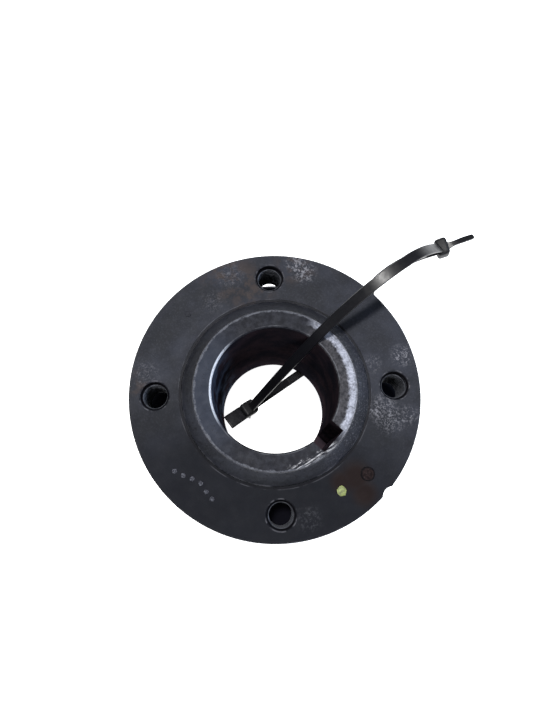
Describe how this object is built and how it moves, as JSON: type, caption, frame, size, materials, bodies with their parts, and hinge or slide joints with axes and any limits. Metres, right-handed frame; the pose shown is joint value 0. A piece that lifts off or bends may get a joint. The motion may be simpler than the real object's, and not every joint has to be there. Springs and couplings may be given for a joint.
{
  "type": "jaw coupling half",
  "caption": "Steel jaw coupling half with a bolting flange welded on its hub, a keyed bore, a dowel, set screws, and a storage loop of plastic cable ties.",
  "frame": {"origin": "on the coupling's axis, in the plane of the jaw tips", "axes": "+Z along the axis towards the bolting flange's face; +X through one of the four tapped holes"},
  "size_m": [0.1649, 0.137, 0.1277],
  "materials": {
    "hub_steel": "oil-darkened steel, worn bright on the boss's face",
    "flange_steel": "oil-darkened blue-grey steel with brown stains and worn speckle",
    "weld_steel": "smoothed weld metal, darkened with oil",
    "rusty_steel": "brown rust on ground steel",
    "screw_steel": "black oxide",
    "black_nylon": "satin moulded nylon"
  },
  "bodies": {
    "coupling_half": {"jaw_hub": "hub_steel", "flange_plate": "flange_steel", "front_weld_bead": "weld_steel", "rear_weld_bead": "weld_steel", "dowel_pin": "rusty_steel"},
    "tie_loop": {"cable_tie_front": "black_nylon", "cable_tie_rear": "black_nylon"},
    "key_screw": {"key_set_screw": "screw_steel"},
    "side_screw": {"side_set_screw": "screw_steel"}
  },
  "joints": [
    {"name": "tie_loop_swing", "type": "hinge", "parent": "coupling_half", "child": "tie_loop", "pos_m": [0, 0, 0], "axis": [0, 0, 1], "range_deg": [-60, 3]},
    {"name": "key_screw_travel", "type": "slide", "parent": "coupling_half", "child": "key_screw", "axis": [0.7071, -0.7071, 0], "range_m": [-0.002, 0.004]},
    {"name": "side_screw_travel", "type": "slide", "parent": "coupling_half", "child": "side_screw", "axis": [-0.7071, -0.7071, 0], "range_m": [-0.002, 0.01]}
  ]
}
